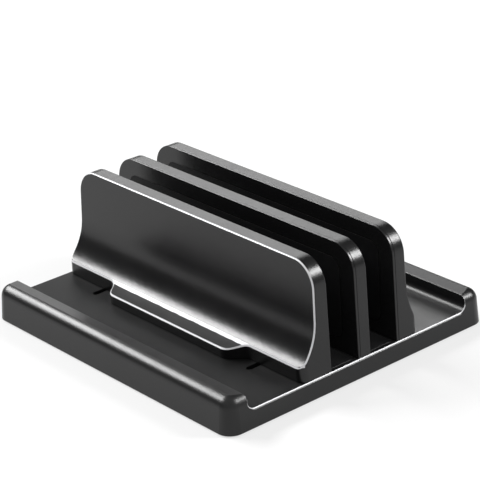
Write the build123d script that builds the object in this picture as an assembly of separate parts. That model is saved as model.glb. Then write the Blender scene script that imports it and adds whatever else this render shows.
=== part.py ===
from build123d import *
import os
from math import radians, tan

# Vertical stand for two closed laptops, with a shelf for a phone in front and one for a tablet behind.
# X runs along the walls, -Y is the phone shelf, Z is up. The origin is on the desk, under the middle
# of the tray. The two outer walls slide along Y, and are drawn where the photograph has them.

# Tray
length = 200.0            # along the walls, at the bottom rim
depth = 181.0             # across the walls, at the bottom rim
desk_gap = 0.8            # the feet hold the rim this far above the desk
floor_height = 11.0       # top of the tray floor above the desk
rail_height = 20.3        # crest of the two rails above the desk
rail_width = 13.9         # foot of a rail's outer face to its inner top edge
rail_fall = 0.9           # the top of a rail slopes down inwards by this much
tray_draft = 4.5          # degrees, the four outer faces lean in
corner_radius = 8.0       # upright corners
crest_radius = 6.5        # round nose of the rails
cove_radius = 4.5         # inner face of a rail into the floor
tray_wall = 2.4           # thickness of rim and rails
tray_floor = 2.5          # thickness of the floor
rail_bevel = 0.35         # sharp bevel along the rails' inner edges
end_bevel = 0.75          # sharp bevel across the open ends of the floor
bevel_angle = 45.0        # degrees
rib = 1.5                 # thickness of all stiffening ribs
rib_height = 3.0          # ribs and guide frames under the tray's floor
rib_pitch = 19.0
rib_row_gap = 4.0         # rib rows beside the guide frames

# Walls
height = 72.3             # top of the walls above the desk
wall_length = 196.8       # at the floor
end_lean = 2.0            # degrees, the wall ends lean in
top_corner = 14.5         # rounded upper corners
outline_round = 0.8       # rounding of the long edges
panel_round = 0.35        # front edges of the middle and the rear wall
cover_bevel = 0.65        # sharp bevel round the front wall's cover
middle_thickness = 8.8
middle_offset = 3.0       # the middle wall stands behind the middle of the tray
slot_width = 18.6         # of both laptop slots, as shown
front_top = 8.6           # thickness of the front wall at its top
front_waist = 9.5         # and where its flare starts
front_waist_height = 42.0
front_lip = 20.3          # slot side to the lip near the wall's ends
front_knee = (0.38, 0.65)  # a point on the flare, as shares of its reach and fall
apron_reach = 8.9         # the middle of the foot stands out further
apron_fall = 2.3          # and its lip lies lower
apron_slope = 0.18        # of the flare at the apron's lip
apron_half = 45.5         # half length of the apron at its lip
apron_blend = 13.5        # length of the S-shaped step at each side of it
rear_top = 8.4
rear_waist = 8.6
rear_waist_height = 52.0
rear_lip = 14.5
rear_knee = (0.30, 0.67)
rear_slope = 2.2          # of the flare at its lip
lip_height = 8.2          # upright face of both feet, above the floor
front_lip_corner = 4.5    # upright corners of the feet
rear_lip_corner = 2.5
shell = 2.2               # thickness of the wall mouldings
panel = 1.3               # thickness of the panels and of the front cover
seam = 0.3                # shadow gap between panel and body
seam_round = 0.25         # rounding of the body's edge beside it
cover_seam = 0.1          # the tighter joint between cover and body
seam_depth = 0.8
locating_lip = 1.4        # ring behind a panel that centres it in the body
lip_play = 0.15
wall_rib_pitch = 32.5

# Sliding and fixing
slide_gap = 0.3           # moving pieces clear the tray by this much
travel_in = 4.6           # of a moving wall, towards the middle wall
travel_out = 16.0         # and away from it
screw_spacing = 130.0     # the outer screws of every wall
inner_spacing = 26.0      # the inner screws of the middle wall
front_screw_reach = 10.5  # slot side of the front wall to its screws
rear_screw_reach = 8.0
thread = 3.0
screw_play = 0.2          # screw hole to screw, all round
head_diameter = 6.0
head_height = 2.2
head_round = 0.7
cross_width = 1.0         # cross recess of a screw head
cross_length = 3.6
cross_depth = 1.3
screw_grip = 5.6          # thread inside an insert or boss
middle_pad = 1.0          # raised pad under each screw head of the middle wall
washer_diameter = 9.0
washer_height = 1.0
washer_play = 0.6         # washer to the ribs of its guide frame
insert_diameter = 4.6
insert_height = 6.0
insert_groove = 0.3       # depth and height of the groove round an insert
insert_groove_height = 1.2
boss_wall = 1.8
boss_roof = 3.0           # boss above an insert or above the screw tip

# Pads and feet
pad_thickness = 0.6
pad_proud = 0.2           # side pads stand out of their recesses
pad_side = 12.0           # wall end to side pad
pad_low = 7.0             # floor to side pad
pad_high = 9.0            # wall top to side pad
pad_corner = 6.0
pad_play = 0.15
floor_pad = 1.0           # thickness, flush with the floor
floor_pad_end = 3.2       # floor's end to floor pad
floor_pad_gap = 0.4       # wall to floor pad
floor_pad_bevel = 0.3
foot_diameter = 14.0
foot_recess = 1.2
foot_round = 0.6
foot_end = 17.0           # tray end to the middle of a foot
foot_side = 24.0          # tray side to the middle of a foot

# Places that follow from the sizes
wall_base = floor_height + slide_gap
middle_front = middle_offset - middle_thickness / 2
middle_back = middle_offset + middle_thickness / 2
front_face = middle_front - slot_width
rear_face = middle_back + slot_width
front_screw_y = front_face - front_screw_reach
rear_screw_y = rear_face + rear_screw_reach
rail_edge = depth / 2 - rail_width
floor_under = floor_height - tray_floor
floor_half = length / 2 - tan(radians(tray_draft)) * (floor_height - desk_gap)
beyond = 5.0              # how far cutting bodies reach past what they cut
square_on = 0.99          # a normal's share along an axis, from which a face looks that way
leaning = 0.2             # and from which it leans that way
offset_steps = 8          # points that an inner flare is drawn through, less one


def prism_x(face, low, high):
    """A YZ section extruded from x = low to x = high."""
    return extrude(Plane.YZ.offset(low) * face, high - low)


def prism_y(face, low, high):
    """An XZ outline extruded from y = low to y = high."""
    return extrude(Plane.XZ.offset(-high) * face, high - low)


def prism_z(face, low, high):
    """A plan extruded from z = low to z = high."""
    return extrude(Pos(0, 0, low) * face, high - low)


def bar(x_low, x_high, y_low, y_high, z_low, z_high):
    size = (x_high - x_low, y_high - y_low, z_high - z_low)
    return Pos(x_low, y_low, z_low) * Box(*size, align=(Align.MIN, Align.MIN, Align.MIN))


def pin(x, y, radius, low, high):
    return Pos(x, y, low) * Cylinder(radius, high - low, align=(Align.CENTER, Align.CENTER, Align.MIN))


def mirrored(value):
    return (-value, value)


# The tray is a drafted block with a round-nosed top, trimmed to the section of floor and rails.
def tray_block(inset):
    plan = RectangleRounded(length - 2 * inset, depth - 2 * inset, corner_radius - inset)
    block = extrude(Pos(0, 0, desk_gap) * plan, rail_height - inset - desk_gap, taper=tray_draft)
    return fillet(block.faces().sort_by(Axis.Z)[-1].edges(), crest_radius - inset)


def tray_section(inset, floor_top):
    """Half of the section is drawn and mirrored: the floor, and a rail's sloping top and inner face."""
    edge = rail_edge + inset
    top = rail_height - rail_fall - inset
    out = depth / 2 + beyond
    rise = rail_fall * (out - edge) / (rail_width - crest_radius)
    low = desk_gap - beyond
    half = make_face(Polyline(
        (0, low), (out, low), (out, top + rise), (edge, top), (edge, floor_top), (0, floor_top),
        close=True))
    half = fillet(half.vertices().sort_by_distance((edge, floor_top))[0], cove_radius + inset)
    half = chamfer(half.vertices().sort_by_distance((edge, top))[0], rail_bevel)
    return half + mirror(half, Plane.YZ)


def guide_slots(radius, low, high):
    """The four straight slots of a given radius that the moving walls' screws travel in."""
    solids = []
    for y, inwards in ((front_screw_y, 1), (rear_screw_y, -1)):
        ends = sorted((y + inwards * travel_in, y - inwards * travel_out))
        middle, run = sum(ends) / 2, ends[1] - ends[0]
        slot = Rot(0, 0, 90) * SlotCenterToCenter(run, 2 * radius)
        for x in mirrored(screw_spacing / 2):
            solids.append(prism_z(Pos(x, middle) * slot, low, high))
    return solids


def guide_frames():
    """Ribs that ring the washers' travel under the floor."""
    low, high = floor_under - rib_height, floor_under
    inner = washer_diameter / 2 + washer_play
    outers = guide_slots(inner + rib, low, high)
    return [outer - hole for outer, hole in zip(outers, guide_slots(inner, low, high))]


def middle_screw_places():
    return [(x, middle_offset) for spacing in (screw_spacing, inner_spacing) for x in mirrored(spacing / 2)]


def foot_places():
    return [(x, y) for x in mirrored(length / 2 - foot_end) for y in mirrored(depth / 2 - foot_side)]


def tray_ribs():
    """Low ribs under the floor, in rows between the rails and across from end to end."""
    low = floor_under - rib_height
    reach = washer_diameter / 2 + washer_play + rib + rib_row_gap
    rows = (front_screw_y - travel_out - reach, front_screw_y + travel_in + reach,
            rear_screw_y - travel_in - reach, rear_screw_y + travel_out + reach)
    ribs = [bar(-length / 2, length / 2, y - rib / 2, y + rib / 2, low, floor_under) for y in rows]
    count = int((length / 2 - foot_end) // rib_pitch)
    for step in range(-count, count + 1):
        x = step * rib_pitch
        ribs.append(bar(x - rib / 2, x + rib / 2, -rail_edge, rail_edge, low, rail_height))
    free = guide_slots(washer_diameter / 2 + washer_play, 0, floor_under)
    free += [pin(x, y, head_diameter / 2 + washer_play, 0, floor_under) for x, y in middle_screw_places()]
    return Part() + ribs - free


def floor_pad_plan(low, high, play):
    half = floor_half - floor_pad_end - play
    return Pos(0, (low + high) / 2) * Rectangle(2 * half, high - low - 2 * play)


def floor_pad_spans():
    """Front and rear laptop slot: from the moving wall as shown to the middle wall."""
    return ((front_face + floor_pad_gap, middle_front - floor_pad_gap),
            (middle_back + floor_pad_gap, rear_face - floor_pad_gap))


def base_tray():
    outer = tray_block(0) & prism_x(tray_section(0, floor_height), -length, length)
    outer -= end_bevels()
    cavity = tray_block(tray_wall) & prism_x(tray_section(tray_wall, floor_under), -length, length)
    ribs = tray_ribs() + guide_frames()
    for x, y in foot_places():
        ribs += pin(x, y, foot_diameter / 2 + shell, desk_gap, floor_under)
    for x, y in middle_screw_places():
        ribs += pin(x, y, head_diameter / 2 + rib, floor_under - middle_pad, floor_under)
    tray = outer - (cavity - ribs)
    tray -= guide_slots(thread / 2 + slide_gap, 0, height)
    for x, y in foot_places():
        tray -= pin(x, y, foot_diameter / 2 + pad_play, 0, desk_gap + foot_recess)
    for x, y in middle_screw_places():
        tray -= pin(x, y, thread / 2 + screw_play, 0, height)
    for low, high in floor_pad_spans():
        tray -= prism_z(floor_pad_plan(low, high, 0), floor_height - floor_pad, height)
    return tray


def end_bevels():
    """What the bevels take off at the open ends: the channel between the rails, widening outwards."""
    low, high = floor_height, rail_height + beyond
    channel = Pos(0, (low + high) / 2) * Rectangle(2 * rail_edge, high - low)
    channel = fillet(channel.vertices().group_by(Axis.Y)[0], cove_radius)
    bevel = extrude(Plane.YZ.offset(floor_half - end_bevel) * channel, beyond, taper=-bevel_angle)
    return [bevel, mirror(bevel, Plane.YZ)]


# The walls are drawn with their slot side on y = 0 and their outer side towards +Y.
def wall_outline(inset, base):
    """A wall seen from its side: leaning ends and rounded upper corners."""
    lean = tan(radians(end_lean))
    half = wall_length / 2 - inset
    top = height - inset
    low_half, top_half = half + lean * (floor_height - base), half - lean * (top - floor_height)
    corners = (-low_half, base), (low_half, base), (top_half, top), (-top_half, top)
    face = make_face(Polyline(*corners, close=True))
    return fillet(face.vertices().group_by(Axis.Y)[-1], top_corner - inset)


def flare(top_thickness, waist, knee, tip, end_slope, inset, extra=()):
    """The hollow curve from a wall's outer face down to the lip of its foot, moved inwards by inset."""
    reach, fall = tip[0] - waist[0], waist[1] - tip[1]
    middle = (waist[0] + knee[0] * reach, waist[1] - knee[1] * fall)
    face_slope = (waist[0] - top_thickness, waist[1] - height)
    curve = Spline(waist, middle, tip, *extra, tangents=(face_slope, (1, -end_slope)))
    if not inset:
        return curve
    stops = [step / offset_steps for step in range(offset_steps + 1)]
    inwards = [Vector((curve % stop).Y, -(curve % stop).X) for stop in stops]
    points = [(curve @ stop) + way * inset for stop, way in zip(stops, inwards)]
    return Spline(*points, tangents=(curve % 0, curve % 1))


def outer_section(curve, top_thickness, inset, base):
    """Everything behind a wall's outer face and flare, as a YZ section."""
    start, end = curve @ 0, curve @ 1
    low = base - beyond
    rest = Polyline(end, (end.X, low), (-beyond, low), (-beyond, height + beyond),
                    (top_thickness - inset, height + beyond), (top_thickness - inset, height), start)
    return make_face(curve + rest)


def front_section(inset, base):
    lip_top = floor_height + lip_height
    apron_tip = (front_lip + apron_reach, lip_top - apron_fall)
    curve = flare(front_top, (front_waist, front_waist_height), front_knee, (front_lip, lip_top),
                  apron_slope, inset, (apron_tip,))
    return outer_section(curve, front_top, inset, base)


def rear_section(inset, base):
    tip = (rear_lip, floor_height + lip_height)
    curve = flare(rear_top, (rear_waist, rear_waist_height), rear_knee, tip, rear_slope, inset)
    return outer_section(curve, rear_top, inset, base)


def front_plan(inset):
    """The front foot from above: an apron in the middle, S-shaped steps, and shallower ends."""
    side = wall_length / 2 + beyond
    near, far = front_lip - inset, front_lip + apron_reach - inset
    start, end = apron_half, apron_half + apron_blend
    step = Spline((start, far), (end, near), tangents=((1, 0), (1, 0)))
    other = Spline((-end, near), (-start, far), tangents=((1, 0), (1, 0)))
    rest = Polyline(
        (end, near), (side, near), (side, -beyond), (-side, -beyond), (-side, near), (-end, near))
    return make_face(step + rest + other + Line((-start, far), (start, far)))


def edge_line(solid, wanted):
    """The whole edge line between the wanted faces and the rest, apart from the open bottom."""
    edges = [edge for face in solid.faces() if wanted(face) for edge in face.edges()]
    low = wall_base + outline_round
    return [edge for edge in edges if edges.count(edge) == 1 and edge.center().Z > low]


def is_slot_side(face):
    return face.normal_at().Y < -square_on


def is_far_side(face):
    return face.normal_at().Y > square_on


def is_outer_side(face):
    normal = face.normal_at()
    return normal.Y > leaning and (normal.Z > leaning or face.center().Z > rear_waist_height)


def lip_corners(solid, reach):
    """The two upright corners between a foot's lip and the wall's ends."""
    low = wall_base + lip_height
    return [edge for edge in solid.edges() if abs(edge.center().X) > wall_length / 2 - seam_depth
            and abs(edge.center().Y - reach) < seam_depth and edge.center().Z < low]


def behind_front(inset):
    """Everything behind the flared front of the front wall, moved inwards by inset."""
    return prism_x(front_section(inset, wall_base), -length, length) & prism_z(front_plan(inset), 0, depth)


def front_block():
    block = behind_front(0) & prism_y(wall_outline(0, wall_base), 0, depth)
    block = fillet(lip_corners(block, front_lip), front_lip_corner)
    block = chamfer(edge_line(block, is_outer_side), cover_bevel)
    return fillet(edge_line(block, is_slot_side), outline_round)


def rear_block():
    foot = Pos(0, rear_lip / 2) * Rectangle(2 * length, rear_lip)
    block = (prism_x(rear_section(0, wall_base), -length, length)
             & prism_y(wall_outline(0, wall_base), 0, depth) & prism_z(foot, 0, depth))
    block = fillet(lip_corners(block, rear_lip), rear_lip_corner)
    block = fillet(edge_line(block, is_outer_side), outline_round)
    return fillet(edge_line(block, is_slot_side), panel_round)


def middle_block():
    block = prism_y(wall_outline(0, floor_height), 0, middle_thickness)
    block = fillet(edge_line(block, is_far_side), outline_round)
    return fillet(edge_line(block, is_slot_side), panel_round)


def outline_ring(outer, inner, base, low, high):
    """A frame that follows a wall's ends and top, open at the bottom."""
    around = prism_y(wall_outline(outer, base), low, high)
    return around - prism_y(wall_outline(inner, base - beyond), low, high)


def wall_ribs(low, base):
    """Upright ribs across a hollow wall, to be trimmed to its inside."""
    count = int((wall_length / 2 - top_corner) // wall_rib_pitch)
    places = [step * wall_rib_pitch for step in range(-count, count + 1)]
    return [bar(x - rib / 2, x + rib / 2, low, depth / 2, base, height) for x in places]


def side_pad_outline(play):
    low, high = floor_height + pad_low + play, height - pad_high - play
    width = wall_length - 2 * pad_side - 2 * play
    return Pos(0, (low + high) / 2) * RectangleRounded(width, high - low, pad_corner - play)


def pad_recess(face, outwards):
    """The shallow recess of a side pad, in a face at y = face that looks along outwards."""
    ends = sorted((face - outwards * (pad_thickness - pad_proud), face + outwards * beyond))
    return prism_y(side_pad_outline(0), *ends)


def side_pad(face, outwards):
    ends = sorted((face - outwards * (pad_thickness - pad_proud), face + outwards * pad_proud))
    return prism_y(side_pad_outline(pad_play), *ends)


def boss(x, y, radius, base, height_above):
    return pin(x, y, radius + boss_wall, base, base + height_above)


def boss_bores(places, radius, bore_height, base):
    """Seats of inserts or threads, with a narrower bore above for the screw's tip."""
    tip = base + screw_grip + boss_roof / 2
    return [pin(x, y, radius, base - beyond, base + bore_height) for x, y in places] + [
        pin(x, y, thread / 2, base - beyond, tip) for x, y in places]


def flat_panel(block, base):
    """The sheet that closes a wall on its front, with the ring that centres it."""
    sheet = block & bar(-length, length, -beyond, panel, 0, 2 * height)
    inner = shell + lip_play
    return sheet + outline_ring(inner, inner + locating_lip, base, panel, panel + locating_lip)


def hollow_body(block, inside, base, bosses, bores):
    """A wall behind its front panel: a shell open to the front and the bottom, ribs and screw bosses."""
    solid = block & bar(-length, length, panel + seam, depth, 0, 2 * height)
    solid = fillet(edge_line(solid, is_slot_side), seam_round)
    solid += prism_y(wall_outline(seam_depth, base), panel, panel + seam)
    room = prism_y(wall_outline(shell, base - beyond), -beyond, depth) & inside
    start = panel + locating_lip + lip_play
    stiffening = Part() + wall_ribs(start, base) + bosses
    stiffening = stiffening & bar(-length, length, panel, depth, 0, 2 * height)
    return solid - (room - stiffening) - bores


def insert_places(reach):
    return [(x, reach) for x in mirrored(screw_spacing / 2)]


def front_wall_body():
    """Slot side, ends and top of the front wall, open towards its cover and the bottom."""
    cover_back = behind_front(panel)
    solid = front_block() & cover_back
    places = insert_places(front_screw_reach)
    room = prism_y(wall_outline(shell, wall_base - beyond), shell, depth)
    stiffening = Part() + wall_ribs(0, wall_base)
    stiffening += [boss(x, y, insert_diameter / 2, wall_base, insert_height + boss_roof) for x, y in places]
    body = solid - (room - (stiffening & behind_front(panel + locating_lip + lip_play)))
    gap = cover_back - behind_front(panel + cover_seam)
    body -= gap & outline_ring(-beyond, seam_depth, wall_base, 0, depth)
    body -= boss_bores(places, insert_diameter / 2, insert_height, wall_base)
    return body - pad_recess(0, -1)


def front_wall_cover():
    """The flared front of the front wall: a thin moulding down to the lip of the foot."""
    behind = behind_front(panel)
    inner = shell + lip_play
    ring = outline_ring(inner, inner + locating_lip, wall_base, shell, depth)
    ring &= behind - behind_front(panel + locating_lip)
    return (front_block() - behind) + ring


def middle_wall_body():
    places = [(x, y - middle_front) for x, y in middle_screw_places()]
    inside = bar(-length, length, -beyond, middle_thickness - shell, 0, height)
    bosses = [boss(x, y, thread / 2, floor_height, screw_grip + boss_roof) for x, y in places]
    bores = boss_bores(places, thread / 2, screw_grip, floor_height)
    body = hollow_body(middle_block(), inside, floor_height, bosses, bores)
    return body - pad_recess(middle_thickness, 1)


def rear_wall_body():
    places = insert_places(rear_screw_reach)
    inside = (prism_x(rear_section(shell, wall_base), -length, length)
              & bar(-length, length, -beyond, rear_lip - shell, 0, height))
    bosses = [boss(x, y, insert_diameter / 2, wall_base, insert_height + boss_roof) for x, y in places]
    bores = boss_bores(places, insert_diameter / 2, insert_height, wall_base)
    return hollow_body(rear_block(), inside, wall_base, bosses, bores)


def screw(x, y, under_head, tip):
    """Pan head screw from below, with a cross recess."""
    head = fillet(pin(0, 0, head_diameter / 2, -head_height, 0).edges().group_by(Axis.Z)[0], head_round)
    cross = Rectangle(cross_width, cross_length) + Rectangle(cross_length, cross_width)
    head -= prism_z(cross, -head_height - beyond, cross_depth - head_height)
    return Pos(x, y, under_head) * (head + pin(0, 0, thread / 2, 0, tip - under_head))


def washer(x, y, low):
    return ring_solid(x, y, washer_diameter / 2, thread / 2, low, low + washer_height)


def ring_solid(x, y, outer, inner, low, high):
    return pin(x, y, outer, low, high) - pin(x, y, inner, low - beyond, high + beyond)


def insert(x, y):
    """Brass thread insert with one groove round its middle."""
    sleeve = ring_solid(x, y, insert_diameter / 2, thread / 2, wall_base, wall_base + insert_height)
    low = wall_base + (insert_height - insert_groove_height) / 2
    bottom = insert_diameter / 2 - insert_groove
    return sleeve - ring_solid(x, y, insert_diameter, bottom, low, low + insert_groove_height)


def foot(x, y):
    pad = pin(x, y, foot_diameter / 2, 0, desk_gap + foot_recess)
    return fillet(pad.edges().group_by(Axis.Z)[0], foot_round)


def floor_pad_solid(low, high):
    pad = prism_z(floor_pad_plan(low, high, pad_play), floor_height - floor_pad, floor_height)
    return chamfer(pad.edges().group_by(Axis.Z)[-1], floor_pad_bevel)


to_front = Pos(0, front_face) * Rot(0, 0, 180)
to_middle = Pos(0, middle_front)
to_rear = Pos(0, rear_face)
washer_low = floor_under - slide_gap - washer_height
middle_seat = floor_under - middle_pad
insert_tip = wall_base + screw_grip
front_places = [(x, front_screw_y) for x in mirrored(screw_spacing / 2)]
rear_places = [(x, rear_screw_y) for x in mirrored(screw_spacing / 2)]
pads = [floor_pad_solid(*span) for span in floor_pad_spans()]
feet = [foot(x, y) for x, y in foot_places()]

nodes = {
    "base_tray": base_tray(),
    "front_floor_pad": pads[0],
    "rear_floor_pad": pads[1],
    "foot_front_left": feet[0],
    "foot_rear_left": feet[1],
    "foot_front_right": feet[2],
    "foot_rear_right": feet[3],
    "middle_wall_body": to_middle * middle_wall_body(),
    "middle_wall_panel": to_middle * (flat_panel(middle_block(), floor_height) - pad_recess(0, -1)),
    "middle_wall_front_pad": to_middle * side_pad(0, -1),
    "middle_wall_rear_pad": to_middle * side_pad(middle_thickness, 1),
    "middle_wall_screws": Compound([screw(x, y, middle_seat, floor_height + screw_grip)
                                    for x, y in middle_screw_places()]),
    "front_wall_body": to_front * front_wall_body(),
    "front_wall_cover": to_front * front_wall_cover(),
    "front_wall_pad": to_front * side_pad(0, -1),
    "front_wall_inserts": Compound([insert(x, y) for x, y in front_places]),
    "front_wall_screws": Compound([screw(x, y, washer_low, insert_tip) for x, y in front_places]),
    "front_wall_washers": Compound([washer(x, y, washer_low) for x, y in front_places]),
    "rear_wall_body": to_rear * rear_wall_body(),
    "rear_wall_panel": to_rear * (flat_panel(rear_block(), wall_base) - pad_recess(0, -1)),
    "rear_wall_pad": to_rear * side_pad(0, -1),
    "rear_wall_inserts": Compound([insert(x, y) for x, y in rear_places]),
    "rear_wall_screws": Compound([screw(x, y, washer_low, insert_tip) for x, y in rear_places]),
    "rear_wall_washers": Compound([washer(x, y, washer_low) for x, y in rear_places]),
}

os.makedirs("parts", exist_ok=True)
for name, shape in nodes.items():
    export_step(shape, f"parts/{name}.step")
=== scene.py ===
from math import cos, pi, radians, sin
import bpy
from mathutils import Matrix, Vector

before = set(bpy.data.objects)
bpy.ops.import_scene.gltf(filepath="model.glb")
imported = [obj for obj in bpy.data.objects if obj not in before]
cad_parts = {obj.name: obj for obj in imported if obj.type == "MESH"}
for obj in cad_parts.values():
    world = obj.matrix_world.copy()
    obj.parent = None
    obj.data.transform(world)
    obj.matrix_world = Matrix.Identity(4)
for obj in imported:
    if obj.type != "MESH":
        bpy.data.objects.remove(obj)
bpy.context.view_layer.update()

# Tray: one injection moulding in black ABS, with two hollow rails and a ribbed underside. The mould is
# spark-eroded, so lamps show in it as soft-edged bands along the round rails. The phone shelf's floor has a
# coarser, duller grain, and a painted highlight in pale silver paint brightens the bevel across both open
# ends.
ABS_BLACK = "#0c0c0d"
ABS_BLACK_WARM = "#101010"
ABS_IOR = 1.54
ABS_SPECULAR = 0.31             # the texture scatters part of the mirror reflection
TRAY_ROUGHNESS = 0.32
LEVEL_ROUGHNESS = 0.50          # of the coarser grain on faces that things are laid on
LEVEL_SPECULAR = 0.12
LEVEL_TILT = (0.86, 0.95)       # upward share of their normal, from none to all of the coarser grain
ROUGHNESS_SPREAD = 0.05         # from the shiniest to the dullest marks
SPARK_GRAIN_MM = 0.55           # real grain is 0.1 mm, drawn this coarse so that it shows
SPARK_DEPTH_MM = 0.045          # and as much deeper, for the same slopes
FLOW_MARK_MM = 38.0             # wide, faint differences in gloss from the flow of the melt
HANDLING_MM = 7.0               # small dull spots where hands have touched it
HANDLING_SHARE = 0.4            # and their share of all marks
MARKS_RANGE = (0.35, 0.65)      # what the marks' noise spreads over
# Painted highlight: a pale silver paint on the bevels, which stands in for the lamps' glint along the edges.
PAINTED_HIGHLIGHT_SILVER = "#bebec0"
PAINTED_HIGHLIGHT_ROUGHNESS = 0.45
PAINTED_HIGHLIGHT_METAL = 0.12
PAINTED_HIGHLIGHT_EDGES_MM = (98.2, 98.85)   # of the painted highlight on the tray's bevels, from its middle
BEVEL_TILT = (0.35, 0.92)       # share of a bevel's normal along each of the two faces beside it
CHANNEL_HALF_MM = 76.7          # floor and painted highlight lie between the rails


def linear(hex_colour):
    """An sRGB hex colour as the linear, opaque colour that shaders take."""
    parts = [int(hex_colour[start:start + 2], 16) / 255 for start in (1, 3, 5)]
    return tuple(p / 12.92 if p <= 0.04045 else ((p + 0.055) / 1.055) ** 2.4 for p in parts) + (1.0,)


def add_node(tree, kind, inputs=None, **settings):
    """Adds a node: settings are its properties, inputs are values or other nodes' outputs for its sockets."""
    node = tree.nodes.new(kind)
    for name, value in settings.items():
        setattr(node, name, value)
    for socket, value in (inputs or {}).items():
        if isinstance(value, bpy.types.NodeSocket):
            tree.links.new(value, node.inputs[socket])
        else:
            node.inputs[socket].default_value = value
    return node


def per_metre(millimetres):
    """The scale of a noise whose features have this size."""
    return 1000 / millimetres


def metres(*millimetres):
    return [value / 1000 for value in millimetres]


def empty_material(name):
    """A material, its node tree, and its only node yet: the object's own coordinates and normals."""
    material = bpy.data.materials.new(name)
    material.use_nodes = True
    tree = material.node_tree
    tree.nodes.clear()
    return material, tree, add_node(tree, "ShaderNodeTexCoord").outputs


def sizes_of(tree, vector):
    """The three parts of a vector, without their signs."""
    plain = add_node(tree, "ShaderNodeVectorMath", {0: vector}, operation="ABSOLUTE")
    return add_node(tree, "ShaderNodeSeparateXYZ", {"Vector": plain.outputs["Vector"]}).outputs


def inside_any(tree, *areas):
    """1 inside one of the areas, 0 elsewhere. An area lists values that all lie between their two limits."""
    mask = 0.0
    for area in areas:
        inside = 1.0
        for value, low, high in area:
            between = add_node(tree, "ShaderNodeMath", {
                0: value, 1: (low + high) / 2, 2: (high - low) / 2}, operation="COMPARE")
            inside = add_node(tree, "ShaderNodeMath", {
                0: between.outputs[0], 1: inside}, operation="MULTIPLY").outputs[0]
        mask = add_node(tree, "ShaderNodeMath", {0: inside, 1: mask}, operation="MAXIMUM").outputs[0]
    return mask


def tray_bevel_highlight(tree, place, normal):
    """Where the painted highlight on the tray's end bevels is."""
    from_middle, facing = sizes_of(tree, place), sizes_of(tree, normal)
    return inside_any(tree, [(from_middle["X"], *metres(*PAINTED_HIGHLIGHT_EDGES_MM)), (facing["X"], *BEVEL_TILT),
                             (from_middle["Y"], *metres(0.0, CHANNEL_HALF_MM))])


def phone_shelf(tree, place):
    """The tray in front of its middle, between the rails."""
    across = add_node(tree, "ShaderNodeSeparateXYZ", {"Vector": place}).outputs["Y"]
    return inside_any(tree, [(across, *metres(-CHANNEL_HALF_MM, 0.0))])


def textured_abs(tree, tint, bump, marks, dullness, specular):
    """A shader for ABS whose roughness follows its marks."""
    roughness = add_node(tree, "ShaderNodeMapRange", {
        "Value": marks, "From Min": MARKS_RANGE[0], "From Max": MARKS_RANGE[1],
        "To Min": dullness - ROUGHNESS_SPREAD / 2, "To Max": dullness + ROUGHNESS_SPREAD / 2})
    return add_node(tree, "ShaderNodeBsdfPrincipled", {
        "Base Color": tint, "Roughness": roughness.outputs["Result"], "Normal": bump,
        "IOR": ABS_IOR, "Specular IOR Level": specular})


def moulded_abs(name, shift_mm, dullness, highlighted_at=None, laid_on=None):
    """Spark-eroded black ABS, with places that carry a painted highlight, or coarser where they are level.
    The shift gives each moulding its own marks."""
    material, tree, own = empty_material(name)
    place, normal = own["Object"], own["Normal"]
    moved = add_node(tree, "ShaderNodeVectorMath", {
        0: place, 1: (shift_mm / 1000,) * 3}, operation="ADD").outputs["Vector"]
    flow = add_node(tree, "ShaderNodeTexNoise", {
        "Vector": moved, "Scale": per_metre(FLOW_MARK_MM), "Detail": 3.0, "Roughness": 0.5})
    handling = add_node(tree, "ShaderNodeTexNoise", {
        "Vector": moved, "Scale": per_metre(HANDLING_MM), "Detail": 5.0, "Roughness": 0.6})
    grain = add_node(tree, "ShaderNodeTexNoise", {
        "Vector": moved, "Scale": per_metre(SPARK_GRAIN_MM), "Detail": 2.0, "Roughness": 0.55})
    marks = add_node(tree, "ShaderNodeMix", {
        "Factor": HANDLING_SHARE, "A": flow.outputs["Fac"], "B": handling.outputs["Fac"]}).outputs["Result"]
    tint = add_node(tree, "ShaderNodeMix", {
        "Factor": flow.outputs["Fac"], "A": linear(ABS_BLACK), "B": linear(ABS_BLACK_WARM)},
        data_type="RGBA").outputs["Result"]
    bump = add_node(tree, "ShaderNodeBump", {
        "Height": grain.outputs["Fac"], "Strength": 1.0, "Distance": SPARK_DEPTH_MM / 1000}).outputs["Normal"]
    shader = textured_abs(tree, tint, bump, marks, dullness, ABS_SPECULAR)
    if laid_on:
        level = add_node(tree, "ShaderNodeMapRange", {
            "Value": sizes_of(tree, normal)["Z"], "From Min": LEVEL_TILT[0], "From Max": LEVEL_TILT[1]},
            interpolation_type="SMOOTHSTEP")
        coarse = add_node(tree, "ShaderNodeMath", {
            0: laid_on(tree, place), 1: level.outputs["Result"]}, operation="MULTIPLY")
        duller = textured_abs(tree, tint, bump, marks, LEVEL_ROUGHNESS, LEVEL_SPECULAR)
        shader = add_node(tree, "ShaderNodeMixShader", {
            0: coarse.outputs[0], 1: shader.outputs[0], 2: duller.outputs[0]})
    # Painted highlight: pale silver paint is mixed in on the bevels, in place of the glint of lamps along the
    # edges.
    if highlighted_at:
        painted_highlight = add_node(tree, "ShaderNodeBsdfPrincipled", {
            "Base Color": linear(PAINTED_HIGHLIGHT_SILVER), "Roughness": PAINTED_HIGHLIGHT_ROUGHNESS, "Metallic": PAINTED_HIGHLIGHT_METAL,
            "Normal": bump})
        shader = add_node(tree, "ShaderNodeMixShader", {
            0: highlighted_at(tree, place, normal), 1: shader.outputs[0], 2: painted_highlight.outputs[0]})
    add_node(tree, "ShaderNodeOutputMaterial", {"Surface": shader.outputs[0]})
    return material


def dress(material, *names):
    """Gives a material to CAD pieces whose shape is right as it is."""
    for name in names:
        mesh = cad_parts[name].data
        mesh.materials.clear()
        mesh.materials.append(material)


dress(moulded_abs("tray_moulded_abs", 0.0, TRAY_ROUGHNESS, tray_bevel_highlight, phone_shelf), "base_tray")

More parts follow.
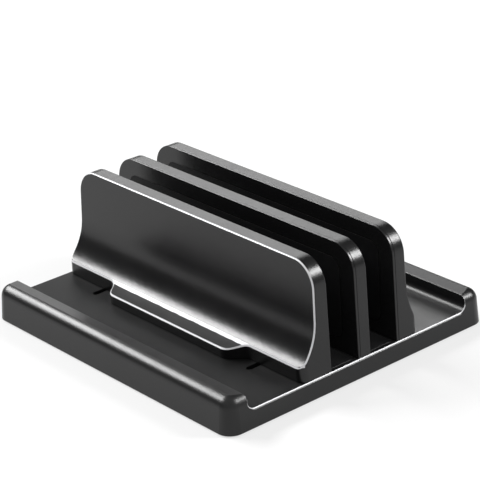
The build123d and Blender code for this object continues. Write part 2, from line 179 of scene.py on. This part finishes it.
# Feet: four silicone discs, die-cut and glued into shallow wells under the tray. Silicone is soft, matt
# and slightly dusty, and it grips the desk.
SILICONE_GREY = "#3a3a3c"
SILICONE_DUST = "#4a4a4a"
SILICONE_IOR = 1.41
SILICONE_SPECULAR = 0.25
SILICONE_ROUGHNESS = (0.50, 0.60)   # clean, and where dust lies
SILICONE_GRAIN_MM = 0.5             # real grain is 0.1 mm, drawn this coarse so that it shows
SILICONE_DEPTH_MM = 0.006
DUST_MM = 4.0
DUST_RANGE = (0.5, 0.75)            # of its noise, from clean to dusty


def die_cut_silicone(name, colour, dust_colour):
    """Silicone sheet: matt, with a fine skin and thin, patchy dust."""
    material, tree, own = empty_material(name)
    skin = add_node(tree, "ShaderNodeTexNoise", {
        "Vector": own["Object"], "Scale": per_metre(SILICONE_GRAIN_MM), "Detail": 3.0, "Roughness": 0.6})
    dust = add_node(tree, "ShaderNodeTexNoise", {
        "Vector": own["Object"], "Scale": per_metre(DUST_MM), "Detail": 6.0, "Roughness": 0.7})
    patches = add_node(tree, "ShaderNodeMapRange", {
        "Value": dust.outputs["Fac"], "From Min": DUST_RANGE[0], "From Max": DUST_RANGE[1]}).outputs["Result"]
    tint = add_node(tree, "ShaderNodeMix", {
        "Factor": patches, "A": linear(colour), "B": linear(dust_colour)}, data_type="RGBA")
    roughness = add_node(tree, "ShaderNodeMapRange", {
        "Value": patches, "To Min": SILICONE_ROUGHNESS[0], "To Max": SILICONE_ROUGHNESS[1]})
    bump = add_node(tree, "ShaderNodeBump", {
        "Height": skin.outputs["Fac"], "Strength": 1.0, "Distance": SILICONE_DEPTH_MM / 1000})
    shader = add_node(tree, "ShaderNodeBsdfPrincipled", {
        "Base Color": tint.outputs["Result"], "Roughness": roughness.outputs["Result"],
        "Normal": bump.outputs["Normal"], "IOR": SILICONE_IOR, "Specular IOR Level": SILICONE_SPECULAR})
    add_node(tree, "ShaderNodeOutputMaterial", {"Surface": shader.outputs[0]})
    return material


dress(die_cut_silicone("grey_silicone", SILICONE_GREY, SILICONE_DUST),
      "foot_front_left", "foot_rear_left", "foot_front_right", "foot_rear_right")

# Floor pads: two strips of black silicone sheet, on which the laptops stand. They are glued flush into
# recesses in the tray's floor, so that only their ends show as a faint line.
SILICONE_BLACK = "#070708"
SILICONE_BLACK_DUST = "#0d0d0d"

black_silicone = die_cut_silicone("black_silicone", SILICONE_BLACK, SILICONE_BLACK_DUST)
dress(black_silicone, "front_floor_pad", "rear_floor_pad")

# Middle wall: a hollow ABS moulding screwed to the tray, closed in front by a snapped-in ABS panel, with a
# silicone pad in a shallow recess on each side. The walls' mould is polished finer than the tray's.
WALL_ROUGHNESS = 0.24

dress(moulded_abs("middle_wall_moulded_abs", 61.0, WALL_ROUGHNESS), "middle_wall_body", "middle_wall_panel")
dress(black_silicone, "middle_wall_front_pad", "middle_wall_rear_pad")

# Screws and washers: pressed steel, zinc plated. The plating is bright, slightly blue and faintly blotchy,
# with fine scratches from tumbling.
ZINC_BRIGHT = "#c3c6ca"
ZINC_BLUE = "#aab2bf"
ZINC_ROUGHNESS = (0.22, 0.38)
ZINC_BLOTCH_MM = 1.5
ZINC_SCRATCH_MM = (1.2, 0.08, 0.08)     # length, and width across
ZINC_DEPTH_MM = 0.002
METAL_RANGE = (0.3, 0.7)                # what blotches and tarnish spread over


def zinc_plated_steel(name):
    """Zinc plating: its blotches change both its tint and its gloss."""
    material, tree, own = empty_material(name)
    blotch = add_node(tree, "ShaderNodeTexNoise", {
        "Vector": own["Object"], "Scale": per_metre(ZINC_BLOTCH_MM), "Detail": 4.0, "Roughness": 0.6})
    stretched = add_node(tree, "ShaderNodeMapping", {
        "Vector": own["Object"], "Scale": [per_metre(size) for size in ZINC_SCRATCH_MM]})
    scratch = add_node(tree, "ShaderNodeTexNoise", {
        "Vector": stretched.outputs["Vector"], "Scale": 1.0, "Detail": 2.0, "Roughness": 0.5})
    tint = add_node(tree, "ShaderNodeMix", {
        "Factor": blotch.outputs["Fac"], "A": linear(ZINC_BRIGHT), "B": linear(ZINC_BLUE)}, data_type="RGBA")
    roughness = add_node(tree, "ShaderNodeMapRange", {
        "Value": blotch.outputs["Fac"], "From Min": METAL_RANGE[0], "From Max": METAL_RANGE[1],
        "To Min": ZINC_ROUGHNESS[0], "To Max": ZINC_ROUGHNESS[1]})
    bump = add_node(tree, "ShaderNodeBump", {
        "Height": scratch.outputs["Fac"], "Strength": 1.0, "Distance": ZINC_DEPTH_MM / 1000})
    shader = add_node(tree, "ShaderNodeBsdfPrincipled", {
        "Base Color": tint.outputs["Result"], "Metallic": 1.0, "Roughness": roughness.outputs["Result"],
        "Normal": bump.outputs["Normal"]})
    add_node(tree, "ShaderNodeOutputMaterial", {"Surface": shader.outputs[0]})
    return material


dress(zinc_plated_steel("zinc_plated_steel"), "middle_wall_screws", "front_wall_screws", "front_wall_washers",
      "rear_wall_screws", "rear_wall_washers")

# Front wall: an ABS shell behind a thin flared ABS cover that runs down to the foot in front, with a
# silicone pad on the slot side. It slides on the tray once the two screws under it are loosened. The cover
# has a bevel all round, brightened with the same painted highlight in pale silver paint as the tray's ends.
FOOT_TOP_MM = 30.0
LIP_TOP_MM = 19.5               # the lip's bevels lie below this, the others above
CREST_MM = (69.5, 72.05)        # and the painted highlight along the top between these


def cover_bevel_highlight(tree, place, normal):
    """Where the cover's painted highlight is: on its bevel along its ends and round corners, its top, and the
    lip of its foot.
    """
    height, facing = sizes_of(tree, place)["Z"], sizes_of(tree, normal)
    ends = [(facing["X"], *BEVEL_TILT), (facing["Y"], *BEVEL_TILT), (height, LIP_TOP_MM / 1000, 1.0)]
    crest = [(height, *metres(*CREST_MM)), (facing["Y"], *BEVEL_TILT)]
    lip = [(facing["Z"], *BEVEL_TILT), (height, *metres(0.0, LIP_TOP_MM))]
    return inside_any(tree, ends, crest, lip)


def cover_foot(tree, place):
    """The cover's lower part, where its apron is."""
    return inside_any(tree, [(sizes_of(tree, place)["Z"], *metres(0.0, FOOT_TOP_MM))])


dress(moulded_abs("front_wall_moulded_abs", 127.0, WALL_ROUGHNESS), "front_wall_body")
dress(moulded_abs("cover_moulded_abs", 140.0, WALL_ROUGHNESS, cover_bevel_highlight, cover_foot), "front_wall_cover")
dress(black_silicone, "front_wall_pad")

# Thread inserts: turned brass, pressed warm into the bosses of the front and rear walls, where the screws
# hold them. They have turning lines round them and a thin, uneven tarnish.
BRASS_LIGHT = "#b8975a"
BRASS_DARK = "#9a7a42"
BRASS_ROUGHNESS = (0.25, 0.42)
BRASS_LINE_MM = 1.57            # real lines are 0.25 mm apart, drawn this coarse so that they show
BRASS_TARNISH_MM = 2.0
BRASS_DEPTH_MM = 0.01
WAVE_SCALE = 2 * pi / 20        # of a wave texture with one line per unit


def turned_brass(name):
    """Brass from the lathe: fine lines round it, and tarnish that changes its tint and gloss."""
    material, tree, own = empty_material(name)
    lines = add_node(tree, "ShaderNodeTexWave", {
        "Vector": own["Object"], "Scale": per_metre(BRASS_LINE_MM) * WAVE_SCALE,
        "Distortion": 0.4, "Detail": 2.0}, wave_type="BANDS", bands_direction="Z", wave_profile="SIN")
    tarnish = add_node(tree, "ShaderNodeTexNoise", {
        "Vector": own["Object"], "Scale": per_metre(BRASS_TARNISH_MM), "Detail": 4.0, "Roughness": 0.6})
    tint = add_node(tree, "ShaderNodeMix", {
        "Factor": tarnish.outputs["Fac"], "A": linear(BRASS_LIGHT), "B": linear(BRASS_DARK)},
        data_type="RGBA")
    roughness = add_node(tree, "ShaderNodeMapRange", {
        "Value": tarnish.outputs["Fac"], "From Min": METAL_RANGE[0], "From Max": METAL_RANGE[1],
        "To Min": BRASS_ROUGHNESS[0], "To Max": BRASS_ROUGHNESS[1]})
    bump = add_node(tree, "ShaderNodeBump", {
        "Height": lines.outputs["Fac"], "Strength": 1.0, "Distance": BRASS_DEPTH_MM / 1000})
    shader = add_node(tree, "ShaderNodeBsdfPrincipled", {
        "Base Color": tint.outputs["Result"], "Metallic": 1.0, "Roughness": roughness.outputs["Result"],
        "Normal": bump.outputs["Normal"]})
    add_node(tree, "ShaderNodeOutputMaterial", {"Surface": shader.outputs[0]})
    return material


dress(turned_brass("turned_brass"), "front_wall_inserts", "rear_wall_inserts")

# Rear wall: like the front wall, an ABS shell that slides on two screws. A flat ABS panel with a silicone
# pad is snapped into its slot side, and the flare behind is one piece with the shell.
dress(moulded_abs("rear_wall_moulded_abs", 209.0, WALL_ROUGHNESS), "rear_wall_body", "rear_wall_panel")
dress(black_silicone, "rear_wall_pad")

# Desk: a wide, plain, matt white surface that the stand is photographed on. Around the stand it is lit from
# within where the camera and reflections see it, so that it stays white and its shadows stay pale.
DESK_WHITE = "#cccccc"
DESK_ROUGHNESS = 0.9
DESK_SPECULAR = 0.1
DESK_GLOW = 0.6
DESK_SIZE = 12.0                # metres, so that its edge is out of sight
UNDER_TRAY_MM = (97.0, 87.0)    # half size of the dark patch under the tray


def painted_desk(name):
    """Matt white paint that glows for the camera and for reflections, apart from the patch under the tray."""
    material, tree, own = empty_material(name)
    paint = add_node(tree, "ShaderNodeBsdfPrincipled", {
        "Base Color": linear(DESK_WHITE), "Roughness": DESK_ROUGHNESS, "Specular IOR Level": DESK_SPECULAR})
    glow = add_node(tree, "ShaderNodeEmission", {"Strength": 1.0})
    seen = 0.0
    ray = add_node(tree, "ShaderNodeLightPath").outputs
    for kind in ("Is Camera Ray", "Is Glossy Ray", "Is Transmission Ray"):
        seen = add_node(tree, "ShaderNodeMath", {0: ray[kind], 1: seen}, operation="MAXIMUM").outputs[0]
    from_middle = sizes_of(tree, own["Object"])
    under = inside_any(tree, [(from_middle["X"], *metres(0.0, UNDER_TRAY_MM[0])),
                              (from_middle["Y"], *metres(0.0, UNDER_TRAY_MM[1]))])
    around = add_node(tree, "ShaderNodeMapRange", {"Value": under, "To Min": DESK_GLOW, "To Max": 0.0})
    share = add_node(tree, "ShaderNodeMath", {0: seen, 1: around.outputs["Result"]}, operation="MULTIPLY")
    shader = add_node(tree, "ShaderNodeMixShader", {
        0: share.outputs[0], 1: paint.outputs[0], 2: glow.outputs[0]})
    add_node(tree, "ShaderNodeOutputMaterial", {"Surface": shader.outputs[0]})
    return material


desk_mesh = bpy.data.meshes.new("desk")
reach = DESK_SIZE / 2
desk_mesh.from_pydata([(-reach, -reach, 0), (reach, -reach, 0), (reach, reach, 0), (-reach, reach, 0)],
                      [], [(0, 1, 2, 3)])
desk = bpy.data.objects.new("desk", desk_mesh)
bpy.context.scene.collection.objects.link(desk)
desk_mesh.materials.append(painted_desk("painted_desk"))

# Studio light: a long softbox at the left, a smaller one behind at the right and a dim wide one behind at
# the left, in a room that is dark but for a white backdrop at the front right, past the camera. Directions
# are in degrees: turned from the front towards the right, and height above the desk.
SOFTBOXES = {   # distance and size in metres, radiance in watts per steradian and square metre
    "left_softbox": {"turn": -71, "height": 39, "distance": 3.0, "size": (2.0, 0.78), "radiance": 28.0},
    "rear_softbox": {"turn": 137, "height": 35, "distance": 3.0, "size": (0.74, 1.04), "radiance": 34.0},
    "back_softbox": {"turn": -130, "height": 28, "distance": 3.0, "size": (1.8, 1.3), "radiance": 2.9},
}
BACKDROP = {"turn": 60, "height": 45, "dark": 0.10, "white": 0.95}
BACKDROP_EDGE = (0.1, 0.7)      # cosine of the angle from its middle, where the room is dark and white


def direction(turn, height):
    return Vector((sin(radians(turn)) * cos(radians(height)),
                   -cos(radians(turn)) * cos(radians(height)), sin(radians(height))))


def facing_centre(turn, height, roll=0.0):
    """Axes of a lamp or camera that looks back along a direction, level or rolled."""
    back = direction(turn, height)
    level = Vector((cos(radians(turn)), sin(radians(turn)), 0))
    upright = back.cross(level)
    tilt = radians(roll)
    right = cos(tilt) * level + sin(tilt) * upright
    return Matrix((right, cos(tilt) * upright - sin(tilt) * level, back)).transposed().to_4x4()


for name, box in SOFTBOXES.items():
    lamp = bpy.data.lights.new(name, "AREA")
    lamp.shape = "RECTANGLE"
    lamp.size, lamp.size_y = box["size"]
    lamp.energy = box["radiance"] * pi * lamp.size * lamp.size_y
    holder = bpy.data.objects.new(name, lamp)
    place = direction(box["turn"], box["height"]) * box["distance"]
    holder.matrix_world = Matrix.Translation(place) @ facing_centre(box["turn"], box["height"])
    bpy.context.scene.collection.objects.link(holder)

backdrop = bpy.data.worlds.new("backdrop")
backdrop.use_nodes = True
room = backdrop.node_tree
room.nodes.clear()
sight = add_node(room, "ShaderNodeTexCoord").outputs["Generated"]
towards = add_node(room, "ShaderNodeVectorMath", {
    0: sight, 1: direction(BACKDROP["turn"], BACKDROP["height"])}, operation="DOT_PRODUCT")
brightness = add_node(room, "ShaderNodeMapRange", {
    "Value": towards.outputs["Value"], "From Min": BACKDROP_EDGE[0], "From Max": BACKDROP_EDGE[1],
    "To Min": BACKDROP["dark"], "To Max": BACKDROP["white"]}, interpolation_type="SMOOTHSTEP")
screen = add_node(room, "ShaderNodeBackground", {"Strength": brightness.outputs["Result"]})
add_node(room, "ShaderNodeOutputWorld", {"Surface": screen.outputs["Background"]})
bpy.context.scene.world = backdrop

# Camera: where the photograph was taken from, found from the stand's straight edges. A long lens from the
# front right and above, tilted a little.
CAMERA_PLACE = (0.79003, -0.64212, 0.49697)                     # metres
CAMERA_TURN, CAMERA_HEIGHT, CAMERA_ROLL = 50.66, 23.83, -3.31   # degrees
LENS, SENSOR = 155.21, 36.0                                     # millimetres
CLIP = (0.05, 50.0)                                             # metres, nearest and farthest

eye = bpy.data.cameras.new("camera")
eye.lens, eye.sensor_width = LENS, SENSOR
eye.clip_start, eye.clip_end = CLIP
camera = bpy.data.objects.new("camera", eye)
camera.matrix_world = (Matrix.Translation(CAMERA_PLACE)
                       @ facing_centre(CAMERA_TURN, CAMERA_HEIGHT, CAMERA_ROLL))
bpy.context.scene.collection.objects.link(camera)
bpy.context.scene.camera = camera
bpy.context.scene.view_settings.view_transform = "Standard"
